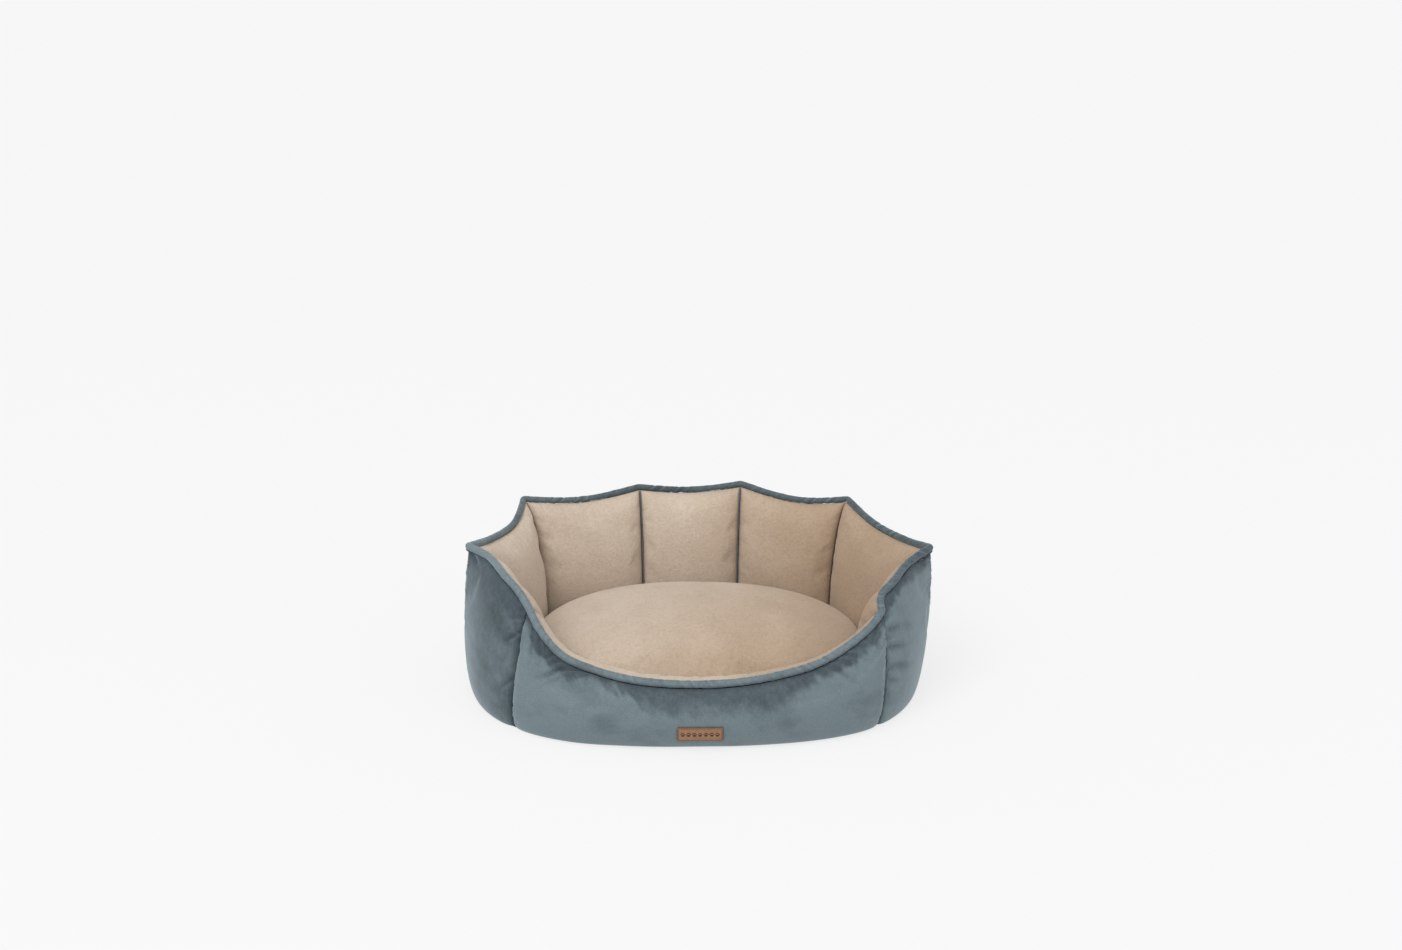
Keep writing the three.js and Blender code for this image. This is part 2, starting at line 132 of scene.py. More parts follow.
def rough(x, y, size, seed, octaves=3):
    """Value noise: random heights on a lattice, eased between with t*t*(3-2t), halved at each octave."""
    total, strength = np.zeros(np.broadcast(x, y).shape), 0.0
    for octave in range(octaves):
        table = np.random.default_rng(seed + octave).uniform(-1, 1, (64, 64))
        a, b = x / size * 2**octave, y / size * 2**octave
        i, j = np.floor(a).astype(int), np.floor(b).astype(int)
        s, t = a - i, b - j
        s, t = s * s * (3 - 2 * s), t * t * (3 - 2 * t)
        pick = lambda p, q: table[p % 64, q % 64]
        low = pick(i, j) * (1 - s) + pick(i + 1, j) * s
        high = pick(i, j + 1) * (1 - s) + pick(i + 1, j + 1) * s
        total += (low * (1 - t) + high * t) / 2**octave
        strength += 1 / 2**octave
    return total / strength


# %% [markdown]
# ## The rim line
#
# Everything hangs on the rim. It is one closed line in space: eight points where chambers meet stand
# out as small ears, the line dips between them, and it scoops low at the front so that a pet can step
# in. Each stretch is a smooth curve through a few points, so the ears stay sharp where stretches meet.

# %% Rim points
CORNER = {
    "front_left": (-222, -148, 156),
    "front_right": (246, -138, 152),
    "right": (316, -34, 203),
    "back_right": (211, 160, 203),
    "back": (56, 220, 204),
    "back_left": (-94, 208, 202),
    "left": (-258, 146, 204),
    "side_left": (-316, -34, 199),
}
BETWEEN = {
    "front": [(-207, -166, 134), (-178, -188, 108), (-124, -209, 92), (0, -228, 84), (111, -213, 92),
              (163, -195, 102), (203, -173, 119), (236, -149, 141)],
    "side_right": [(246, -119, 168), (260, -112, 182), (280, -76, 193)],
    "right": [(285, 26, 192), (244, 98, 191)],
    "back_right": [(150, 183, 192)],
    "back": [(-20, 212, 197)],
    "back_left": [(-178, 176, 193)],
    "left": [(-265, 90, 189), (-288, 27, 189)],
    "side_left": [(-287, -60, 196), (-254, -118, 187), (-237, -133, 174)],
}
CHAMBERS = list(BETWEEN)
CORNERS = list(CORNER)


def smooth_line(points, count):
    """Points at even distances on a curve through `points`: cubic between knots, with slopes that are
    the weighted mean of the two neighbouring chords, as in a Catmull-Rom curve on chord lengths."""
    knots = np.array(points, float)
    chord = np.linalg.norm(np.diff(knots, axis=0), axis=1)
    at = np.concatenate([[0], np.cumsum(chord)])
    step = np.diff(knots, axis=0) / chord[:, None]
    weight = (chord[:-1] / (chord[:-1] + chord[1:]))[:, None]
    inner = step[:-1] * (1 - weight) + step[1:] * weight
    first = 1.5 * step[0] - 0.5 * inner[0] if len(inner) else step[0]
    last = 1.5 * step[-1] - 0.5 * inner[-1] if len(inner) else step[-1]
    slope = np.vstack([first, inner, last])

    def curve(t):
        k = np.clip(np.searchsorted(at, t, "right") - 1, 0, len(chord) - 1)
        h = chord[k][:, None]
        u = ((t - at[k]) / chord[k])[:, None]
        start = (2 * u**3 - 3 * u**2 + 1) * knots[k] + (u**3 - 2 * u**2 + u) * h * slope[k]
        end = (3 * u**2 - 2 * u**3) * knots[k + 1] + (u**3 - u**2) * h * slope[k + 1]
        return start + end

    fine = curve(np.linspace(0, at[-1], 600))
    run = np.concatenate([[0], np.cumsum(np.linalg.norm(np.diff(fine, axis=0), axis=1))])
    even = np.interp(np.linspace(0, run[-1], count), run, np.linspace(0, at[-1], 600))
    return curve(even), run[-1]


def rim_stretch(chamber, count):
    """The rim over one chamber, from its own corner to the next one, and its length."""
    n = CHAMBERS.index(chamber)
    start, end = CORNER[CORNERS[n]], CORNER[CORNERS[(n + 1) % 8]]
    return smooth_line([start, *BETWEEN[chamber], end], count)


rim_length = {c: float(rim_stretch(c, 2)[1]) for c in CHAMBERS}
print("rim lengths, mm:", {c: round(v) for c, v in rim_length.items()})

# %% [markdown]
# ## The wall's profile
#
# Cut the wall upright across its length: the velvet comes up from under the base, swells outwards and
# rolls over to the piping, and the plush does the same inside. Each side is a Bezier curve with six
# control points, [how far out from the rim, how high]. Between seams the curve has its full swell. At
# a seam the two panels are sewn together, so it drops to a crease along a quarter of an ellipse.

# %% Base outline and swell
PLAN_A, PLAN_B, PLAN_POWER, PLAN_X, PLAN_Y = 314, 239, 2.3, -4, -6


def rounded_oval(angle, a, b, power):
    """Radius of |x/a|^n + |y/b|^n = 1 in the direction of `angle`."""
    return (np.abs(np.cos(angle) / a) ** power + np.abs(np.sin(angle) / b) ** power) ** (-1 / power)


# Where the cut of the base is a little off the plain oval: [degrees, mm outwards].
TRIM = np.array([[-175, 2], [-158, 11], [-148, 16], [-136, 17], [-126, 15], [-114, 7], [-90, 0], [-68, 0],
                 [-54, 4], [-42, 8], [-34, 8], [-24, 4], [-12, 0]], float)


def base_outline(angle):
    """The plan oval plus its trim."""
    trim = np.interp(np.degrees(angle), TRIM[:, 0], TRIM[:, 1], period=360)
    return rounded_oval(angle, PLAN_A, PLAN_B, PLAN_POWER) + trim


def foot_and_outward(rim, lead):
    """The base outline's point at the rim point's polar angle plus `lead` radians, and its level normal
    there, which is the slope of |x/a|^n + |y/b|^n."""
    angle = np.arctan2(rim[:, 1] - PLAN_Y, rim[:, 0] - PLAN_X) + lead
    reach = base_outline(angle)
    foot = np.stack([np.cos(angle), np.sin(angle)], -1) * reach[:, None]
    slope = lambda v, size: np.sign(v) * np.abs(v / size) ** (PLAN_POWER - 1) / size
    normal = np.stack([slope(foot[:, 0], PLAN_A), slope(foot[:, 1], PLAN_B)], -1)
    foot += [PLAN_X, PLAN_Y]
    return foot, normal / np.linalg.norm(normal, axis=1, keepdims=True)


def eased_step(x, low, high):
    """0 below low, 1 above high, and t*t*(3-2t) between."""
    t = np.clip((x - low) / (high - low), 0, 1)
    return t * t * (3 - 2 * t)


def swell(distance, crease):
    """Quarter ellipse: 0 at the seam, 1 from `crease` mm onwards."""
    t = 1 - np.clip(distance / crease, 0, 1)
    return np.sqrt(np.maximum(0, 1 - t * t))


def bezier(controls, share):
    """Sum over k of C(n, k) (1-t)^(n-k) t^k P_k, for controls[k] of shape (columns, 2)."""
    n = len(controls) - 1
    total = 0
    for k, point in enumerate(controls):
        blend = math.comb(n, k) * (1 - share) ** (n - k) * share**k
        total = total + blend[None, :, None] * point[:, None, :]
    return total


# %% The two faces of a chamber
CREASE = {"velvet": 26, "plush": 30}
LEAD = {"front_left": 0.05, "front_right": -0.15}  # radians the outward direction turns at the front seams
SLIDE = {"front_left": 9, "front_right": -21}  # mm along the base that a seam's foot is moved
PINCH = {"side_left": 1.0, "right": 0.6}  # corners where the cloth is drawn in under the ear
PINCH_WIDTH, SLIDE_WIDTH = 27, 110  # mm along the rim over which these two fade
FULL = {"side_right": 0.62, "right": 0.62, "left": 0.82, "side_left": 0.86}  # how plump a chamber is


def at_corner(table, k):
    """What a table says of corner k, or 0."""
    return table.get(CORNERS[k % 8], 0)


def chamber_face(chamber, side, step=4.0, rows=46):
    """Grid over one chamber: rim point + outward * profile_x, at height profile_z. Columns are `step`
    mm apart along the rim, and rows go from the foot to the rim."""
    length = rim_length[chamber]
    columns = int(length / step) + 1
    rim, _ = rim_stretch(chamber, columns)
    along = np.linspace(0, length, columns)
    n = CHAMBERS.index(chamber)
    lead = np.interp(along, [0, length], [at_corner(LEAD, n), at_corner(LEAD, n + 1)])
    foot, outward = foot_and_outward(rim, lead)
    reach = np.einsum("ij,ij->i", foot - rim[:, :2], outward)
    free = swell(np.minimum(along, length - along), CREASE[side])
    full = free * FULL.get(chamber, 1)
    low = np.clip((140 - rim[:, 2]) / 56, 0, 1)
    near = ((n, along), (n + 1, length - along))
    pinch = sum(at_corner(PINCH, k) * np.exp(-((d / PINCH_WIDTH) ** 2)) for k, d in near)
    top = rim[:, 2] - 2
    at = lambda x, z: np.stack([x + 0 * top, z + 0 * top], -1)
    if side == "velvet":
        controls = [
            at(reach - 17 + 7 * free, 0.4),
            at(reach - 9 + 11 * free, 0.4),
            at(reach - 5 + 7 * free + 16 * full + 3 * low, 0.36 * top),
            at(8 + 19 * full - 5 * pinch, 0.72 * top),
            at(4 + 15 * full + 6 * low - 13 * pinch, 1.01 * top),
            at(2.4, top - 2.5),
        ]
    else:
        controls = [
            at(-40 - 6 * full - 10 * low, 8.5),
            at(-43 - 9 * full - 10 * low, 0.22 * top),
            at(-42 - 14 * full - 12 * low, 0.46 * top),
            at(-30 - 16 * full - 14 * low, 0.80 * top + 9 * low),
            at(-12 - 12 * full - 8 * low, 1.02 * top + 13 * low * full),
            at(-3.0, top - 1),
        ]
    share = 1 - (1 - np.linspace(0, 1, rows)) ** 1.25
    across = bezier(controls, share)
    # Small gathers where the panel is eased on to the piping.
    gather = ripple(along, [17, 11, 8, 29], n * 7 + (side == "plush"))
    fade = np.exp(-(top[:, None] - across[..., 1]) / 11) * np.sqrt(np.maximum(0, 1 - share))[None, :]
    push = (1 if side == "velvet" else -1) * 2.4 * fade * gather[:, None] * full[:, None]
    grid = np.empty((columns, rows, 3))
    grid[..., :2] = rim[:, None, :2] + outward[:, None, :] * (across[..., :1] + push[..., None])
    grid[..., 2] = across[..., 1]
    if side == "velvet":
        slide = sum(at_corner(SLIDE, k) * (1 - eased_step(d, 0, SLIDE_WIDTH)) for k, d in near)
        tangent = np.stack([-outward[:, 1], outward[:, 0]], -1)
        below = 1 - grid[..., 2] / grid[:, -1:, 2]  # 1 at the foot and 0 at the rim
        grid[..., :2] += tangent[:, None, :] * (slide[:, None] * below)[..., None]
        # Stuffed cloth can't hold an upright ridge, so each row is evened out between the seams.
        from_seam = np.minimum(along, length - along)
        hold = eased_step(from_seam, 4, 34)[:, None] * (4 * share * (1 - share))[None, :] ** 0.5
        for _ in range(26):
            mean = 0.5 * (grid[:-2] + grid[2:])
            grid[1:-1] += 0.9 * hold[1:-1, :, None] * (mean - grid[1:-1])
    return grid


faces_of_wall = {(c, side): chamber_face(c, side) for c in CHAMBERS for side in ("velvet", "plush")}
print("wall points:", sum(g.shape[0] * g.shape[1] for g in faces_of_wall.values()))

# %% [markdown]
# ## Letting the cloth settle
#
# Stuffed cloth is never as smooth as a formula. A cloth simulation gives it the rest: the panels get a
# little more cloth than the space they span, the edges are pinned at the seams, and the fibre inside
# pushes them outwards. The spare cloth then gathers in soft puckers along the seams. How far a point
# may move is capped, so the shape stays the bed's.


# %% Cloth simulation of pinned panels
def settle(grids, turned, spare, pressure, cap, stiffness, bending, frames=18):
    """Runs Blender's cloth on separate grids with pinned borders. Rest lengths are 1 + spare times the
    drawn ones. Each point's move d becomes d * cap / (cap + |d|), so none goes further than cap."""
    points = np.concatenate([g.reshape(-1, 3) for g in grids])
    start = np.cumsum([0] + [g.shape[0] * g.shape[1] for g in grids])
    faces = [grid_faces(*g.shape[:2], turn=t) + s for g, t, s in zip(grids, turned, start)]
    thing = mesh_object("settling", points, np.concatenate(faces))
    pinned = []
    for g, s in zip(grids, start):
        number = np.arange(g.shape[0] * g.shape[1]).reshape(g.shape[:2]) + s
        pinned += [number[0], number[-1], number[:, 0], number[:, -1]]
    group = thing.vertex_groups.new(name="sewn")
    group.add(np.concatenate(pinned).tolist(), 1.0, "REPLACE")
    cloth = thing.modifiers.new("cloth", "CLOTH")
    s = cloth.settings
    s.vertex_group_mass = "sewn"
    s.mass, s.quality, s.air_damping = 0.25, 6, 3
    s.tension_stiffness = s.compression_stiffness = stiffness
    s.shear_stiffness, s.bending_stiffness = stiffness * 0.4, bending
    s.shrink_min = -spare
    s.use_pressure, s.uniform_pressure_force = True, pressure
    s.effector_weights.gravity = 0
    cloth.point_cache.frame_start, cloth.point_cache.frame_end = 1, frames
    cloth.collision_settings.use_collision = False
    for f in range(1, frames + 1):
        bpy.context.scene.frame_set(f)
    shaped = thing.evaluated_get(bpy.context.evaluated_depsgraph_get()).to_mesh()
    moved = np.empty(len(points) * 3, np.float32)
    shaped.vertices.foreach_get("co", moved)
    moved = moved.reshape(-1, 3) / MM - SHIFT - points
    size = np.linalg.norm(moved, axis=1, keepdims=True)
    print(f"settled: moved {np.median(size):.1f} mm as a median, {size.max():.1f} mm at most, before the cap")
    bpy.data.objects.remove(thing)
    bpy.context.scene.frame_set(1)
    points = points + moved * cap / (cap + size)
    return [points[a:b].reshape(g.shape) for g, a, b in zip(grids, start[:-1], start[1:])]


for side, spare, bending, cap in (("velvet", 0.018, 2.5, 3.0), ("plush", 0.012, 5.0, 4)):
    keys = [k for k in faces_of_wall if k[1] == side]
    shaped = settle([faces_of_wall[k] for k in keys], [side == "plush"] * 8, spare, 1.2, cap, 14, bending)
    for k, new in zip(keys, shaped):
        # The lowest part is held by the base, so it keeps its drawn line.
        give = eased_step(np.linspace(0, 1, new.shape[1]), 0.08, 0.45)[None, :, None]
        faces_of_wall[k] = faces_of_wall[k] + give * (new - faces_of_wall[k])


# %% Finer grids, folds and puckers
def finer(grid):
    """Twice the points each way: each new one is (-a + 9b + 9c - d) / 16 of its four neighbours in a row,
    with the ends continued in a straight line."""
    for axis in (0, 1):
        g = np.moveaxis(grid, axis, 0)
        padded = np.concatenate([2 * g[:1] - g[1:2], g, 2 * g[-1:] - g[-2:-1]])
        new = np.empty((2 * len(g) - 1, *g.shape[1:]))
        new[::2], new[1::2] = g, (9 * (padded[1:-2] + padded[2:-1]) - padded[:-3] - padded[3:]) / 16
        grid = np.moveaxis(new, 0, axis)
    return grid


def outward_of(grid):
    """Unit normals: the cross product of the two grid directions, turned to point away from the bed."""
    normal = np.cross(np.gradient(grid, axis=0), np.gradient(grid, axis=1))
    normal /= np.maximum(np.linalg.norm(normal, axis=-1, keepdims=True), 1e-9)
    middle = np.array(grid.shape[:2]) // 2
    return normal * np.sign(np.sum((normal * grid)[middle[0], middle[1], :2]))


def fold(grid, normal, start, end, width, depth):
    """A soft fold from `start` to `end`, each a share along the panel and a share up it. Across the line
    it is a valley with a ridge beside it: exp(-(d/w)^2) against exp(-((d - 1.5w)/w)^2). It fades out at
    both ends. Returns how far each point moves outwards."""
    number = lambda at: tuple(np.round(np.array(at) * (np.array(grid.shape[:2]) - 1)).astype(int))
    a, b = grid[number(start)], grid[number(end)]
    line = b - a
    share = np.clip(((grid - a) @ line) / (line @ line), 0, 1)
    away = grid - (a + share[..., None] * line)
    side = np.cross(normal[number(start)], line / np.linalg.norm(line))
    d = away @ side
    beyond = np.linalg.norm(away - d[..., None] * side, axis=-1)
    fade = (0.25 + 0.75 * np.sin(np.pi * (0.12 + 0.88 * share))) * np.exp(-((beyond / 14) ** 2))
    return depth * fade * (0.75 * np.exp(-(((d - 1.5 * width) / width) ** 2)) - np.exp(-((d / width) ** 2)))


# Folds on three panels, each as start along and up, end along and up, width and depth in mm.
FOLDS = {
    "front": [(0.051, 0.80, 0.066, 0.62, 2.6, 1.8), (0.081, 0.86, 0.100, 0.66, 2.4, 1.6),
              (0.125, 0.95, 0.110, 0.74, 2.6, 1.8), (0.154, 0.97, 0.120, 0.70, 2.8, 2.2),
              (0.199, 0.96, 0.105, 0.55, 3.2, 3.0), (0.176, 0.93, 0.140, 0.66, 2.6, 1.8),
              (0.230, 0.95, 0.190, 0.72, 3.0, 1.4), (0.809, 0.92, 0.860, 0.58, 3.0, 2.6),
              (0.831, 0.95, 0.890, 0.62, 3.0, 2.4), (0.860, 0.96, 0.912, 0.66, 2.8, 2.2),
              (0.900, 0.96, 0.934, 0.74, 2.8, 2.0), (0.785, 0.95, 0.815, 0.66, 3.0, 1.6),
              (0.963, 0.92, 0.940, 0.78, 2.4, 1.8), (0.990, 0.66, 0.930, 0.60, 2.6, 1.4),
              (0.699, 0.96, 0.705, 0.82, 2.6, 0.8), (0.640, 0.97, 0.636, 0.86, 2.4, 0.7)],
    "side_right": [(0.020, 0.66, 0.300, 0.56, 2.8, 2.4), (0.020, 0.60, 0.200, 0.53, 2.4, 2.0),
                   (0.020, 0.54, 0.360, 0.44, 2.8, 2.2), (0.020, 0.45, 0.389, 0.35, 3.0, 2.4),
                   (0.010, 0.38, 0.222, 0.31, 2.6, 1.6), (0.680, 0.97, 0.900, 0.76, 4.2, 4.0),
                   (0.830, 0.97, 0.960, 0.84, 3.0, 2.4), (0.250, 0.95, 0.280, 0.70, 3.2, 1.6),
                   (0.440, 0.97, 0.470, 0.78, 3.2, 1.4), (0.020, 0.74, 0.200, 0.70, 2.6, 1.8)],
    "side_left": [(0.060, 0.95, 0.220, 0.78, 4.0, 2.4), (0.980, 0.62, 0.860, 0.52, 2.6, 1.4),
                  (0.980, 0.86, 0.840, 0.80, 2.6, 1.6), (0.980, 0.76, 0.880, 0.68, 2.6, 1.6),
                  (0.980, 0.36, 0.880, 0.30, 2.6, 1.2)],
}
dice = np.random.default_rng(11)
dents = {}
for (chamber, side), grid in list(faces_of_wall.items()):
    grid = finer(grid)
    normal = outward_of(grid)
    if side == "velvet":
        push = np.zeros(grid.shape[:2])
        for one in FOLDS.get(chamber, []):
            push += fold(grid, normal, one[:2], one[2:4], *one[4:])
        # Puckers: each seam's stitches pull short wrinkles into the cloth beside them.
        length = rim_length[chamber]
        along = np.linspace(0, length, grid.shape[0])[:, None]
        up = np.linspace(0, 1, grid.shape[1])[None, :]
        for distance in (along, length - along):
            height, size = dice.uniform(0.14, 0.97, 15), dice.uniform(0.25, 0.9, 15)
            reach, lean = dice.uniform(9, 24, 15), dice.uniform(-0.0012, 0.0012, 15)
            for p, h, r, k in zip(height, size, reach, lean):
                across = (up - p - k * distance) / 0.011
                wrinkle = np.exp(-((across - 1.5) ** 2)) - np.exp(-(across**2))
                push += h * wrinkle * np.exp(-distance / r) * (1 - np.exp(-distance / 3))
        push *= eased_step(1 - up, 0.0, 0.07)
        # How deep each fold's valley is, later painted into the velvet as shade.
        dents[chamber] = np.clip(-push / 1.6, 0, 1)
        grid = grid + 1.25 * push[..., None] * normal
        grid[..., 2] = np.maximum(grid[..., 2], 0.3)  # nothing of it goes through the ground
    faces_of_wall[(chamber, side)] = grid

# %% [markdown]
# ## Velvet
#
# Velvet is a short upright pile. Seen from above the pile it looks deep and dark, and along the pile
# it shines, so the shader has a dark base with a strong sheen. Where a hand has brushed the pile the
# other way there are lighter and darker clouds, which are large soft noise. A very fine noise as bump
# breaks the surface into fibres.


# %% Node helpers
class Finish:
    """A node material: its Principled shader, and one method for each kind of node that is used."""

    def __init__(self, name, **sockets):
        """Sets each named socket of the shader, with `_` for a space, to its one value."""
        self.material = bpy.data.materials.new(name)
        self.material.use_nodes = True
        self.nodes, self.links = self.material.node_tree.nodes, self.material.node_tree.links
        self.shader = self.nodes["Principled BSDF"]
        for socket, value in sockets.items():
            self.shader.inputs[socket.replace("_", " ")].default_value = value

    def node(self, kind, values=(), wires=()):
        """One node with the given input values and wires into its inputs."""
        made = self.nodes.new("ShaderNode" + kind)
        for socket, value in dict(values).items():
            made.inputs[socket].default_value = value
        for socket, source in dict(wires).items():
            self.links.new(source, made.inputs[socket])
        return made

    def noise(self, scale, detail=3.0, roughness=0.55, stretch=(1, 1, 1)):
        """Noise on Object coordinates, stretched by a Mapping node."""
        where = self.node("TexCoord").outputs["Object"]
        mapping = self.node("Mapping", {"Scale": stretch}, {"Vector": where})
        values = {"Scale": scale, "Detail": detail, "Roughness": roughness}
        return self.node("TexNoise", values, {"Vector": mapping.outputs["Vector"]}).outputs[0]

    def painted(self, name):
        """A number that the mesh stores at each point."""
        made = self.node("Attribute")
        made.attribute_name = name
        return made.outputs["Fac"]

    def ramp(self, factor, *stops):
        """A colour ramp from (position, (r, g, b)) or (position, grey) stops."""
        made = self.node("ValToRGB", (), {"Fac": factor})
        while len(made.color_ramp.elements) < len(stops):
            made.color_ramp.elements.new(0.5)
        for element, (position, colour) in zip(made.color_ramp.elements, stops):
            element.position = position
            element.color = (*np.broadcast_to(colour, 3).tolist(), 1)
        return made.outputs["Color"]

    def multiply(self, first, *others):
        """Colours multiplied one after another."""
        for other in others:
            made = self.node("Mix")
            made.data_type, made.blend_type = "RGBA", "MULTIPLY"
            made.inputs["Factor"].default_value = 1.0
            self.links.new(first, made.inputs["A"])
            self.links.new(other, made.inputs["B"])
            first = made.outputs["Result"]
        return first

    def bump(self, factor, strength, distance, before=None):
        """A Bump node over an optional earlier one."""
        wires = {"Height": factor, **({"Normal": before} if before else {})}
        return self.node("Bump", {"Strength": strength, "Distance": distance}, wires).outputs["Normal"]

    def done(self, colour, normal):
        """Wires up the colour and the bump, and gives the material."""
        self.links.new(colour, self.shader.inputs["Base Color"])
        self.links.new(normal, self.shader.inputs["Normal"])
        return self.material


# %% Velvet material
def velvet_material(name, light, deep):
    """Dark pile with sheen: colour from deep to light over soft clouds, fine fibre bump. Where the
    mesh's stored painted shade is high the cloth is darkened; noise frays the edge of such a patch."""
    cloth = Finish(name, Roughness=0.72, Specular_IOR_Level=0.25, Sheen_Weight=0.55, Sheen_Roughness=0.42,
                   Sheen_Tint=(0.62, 0.74, 0.80, 1))
    base = cloth.ramp(cloth.noise(13, 4, 0.6, (1, 1, 1.7)), (0.30, deep), (0.50, light), (0.72, light))
    fleck = cloth.noise(900, 2, 0.6)
    grain = cloth.ramp(fleck, (0.3, 0.80), (0.7, 1.12))
    tufts = cloth.noise(120, 4, 0.75, (1.4, 1.4, 0.45))
    # Painted shade stored in the mesh, its edge frayed by tuft noise.
    frayed = cloth.node("Mix", {"Factor": 0.45}, {"A": cloth.painted("painted_shade"), "B": tufts}).outputs["Result"]
    shade = cloth.ramp(frayed, (0.255, 1), (0.775, (0.36, 0.38, 0.41)))
    soft = cloth.bump(cloth.noise(55, 3, 0.6), 0.25, 0.0012)
    return cloth.done(cloth.multiply(base, grain, shade), cloth.bump(fleck, 0.35, 0.0004, soft))


VELVET = velvet_material("slate velvet", (0.150, 0.194, 0.211), (0.108, 0.142, 0.156))
# A lighter copy of the same velvet for the piping and the bindings: painted light on the rim's cord.
LIT_PIPING_VELVET = velvet_material("slate velvet piping", (0.163, 0.210, 0.228), (0.118, 0.154, 0.170))

# %% [markdown]
# ## Plush
#
# The lining and the cushion are short-pile plush. Its pile is longer and softer than velvet's and lies
# in small tufts, so it looks mottled. Its creases are darkened brown and one side is darker and warmer,
# both as painted shade. Two sizes of noise make the tufts, one for the colour and the same one for the
# bump, and a soft sheen gives the pale bloom on the edges.


# %% Plush material
def plush_material(name, lit_cool, warm_shade):
    """Painted light and shade: a cool pale lit colour and a warm deep shaded one, mixed by a number the
    mesh stores at each point. Tuft noise breaks up the colour and is the bump; large clouds vary it."""
    cloth = Finish(name, Roughness=0.92, Specular_IOR_Level=0.15, Sheen_Weight=0.25, Sheen_Roughness=0.6,
                   Sheen_Tint=(1.0, 0.93, 0.84, 1))
    tuft, fine = cloth.noise(190, 4, 0.6, (1, 1, 1.25)), cloth.noise(620, 3, 0.65)
    # Painted light and shade: the lit cool colour and the shaded warm one, mixed by a stored number.
    tone = cloth.ramp(cloth.painted("warm_shade"), (0.0, lit_cool), (1.0, warm_shade))
    mottle = cloth.ramp(tuft, (0.30, (0.91, 0.90, 0.88)), (0.52, 1), (0.75, 1.04))
    grain = cloth.ramp(fine, (0.30, (0.86, 0.85, 0.84)), (0.70, 1.10))
    clouds = cloth.ramp(cloth.noise(16, 3, 0.55), (0.3, (0.93, 0.91, 0.88)), (0.65, 1.04))
    # Painted shade in the seams and creases, in brown.
    shade = cloth.ramp(cloth.painted("painted_shade"), (0.0, 1), (1.0, (0.42, 0.34, 0.28)))
    colour = cloth.multiply(tone, mottle, grain, clouds, shade)
    return cloth.done(colour, cloth.bump(fine, 0.4, 0.0006, cloth.bump(tuft, 0.45, 0.0014)))


PLUSH = plush_material("beige plush", (0.545, 0.455, 0.372), (0.386, 0.283, 0.198))
CUSHION_PLUSH = plush_material("beige plush cushion", (0.522, 0.436, 0.358), (0.392, 0.284, 0.196))


# %% [markdown]
# ## Sewing the wall
#
# Each panel becomes its own object. Painted shade is stored in the mesh as one number per point, 0 for
# plain cloth and 1 for darkest. It lies along the seams, in the folds, on the side panels, and in a band
# under the piping where the velvet is also brushed upwards. The wall's grids are fine enough as they
# are, so a panel only gets its real thickness, which grows inwards. Plainer pieces are also subdivided
# once for roundness.


# %% Pile attribute and finishing
def paint(thing, name, values):
    """Stores one number per point for the material to read."""
    store = thing.data.attributes.new(name, "FLOAT", "POINT")
    store.data.foreach_set("value", np.clip(values, 0, 1).astype(np.float32).ravel())


def finish_cloth(thing, thickness, levels=1):
    """Subdivision for roundness, then Solidify inwards by the cloth's thickness in mm."""
    if levels:
        smooth = thing.modifiers.new("round", "SUBSURF")
        smooth.levels = smooth.render_levels = levels
    shell = thing.modifiers.new("thickness", "SOLIDIFY")
    shell.thickness = thickness * MM
    shell.offset = -1


def belongs(piece, body, taken=()):
    """Attaches a piece to the body it rides on and hides the frame nodes it stands for."""
    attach(piece, body)
    if taken:
        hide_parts(*taken)


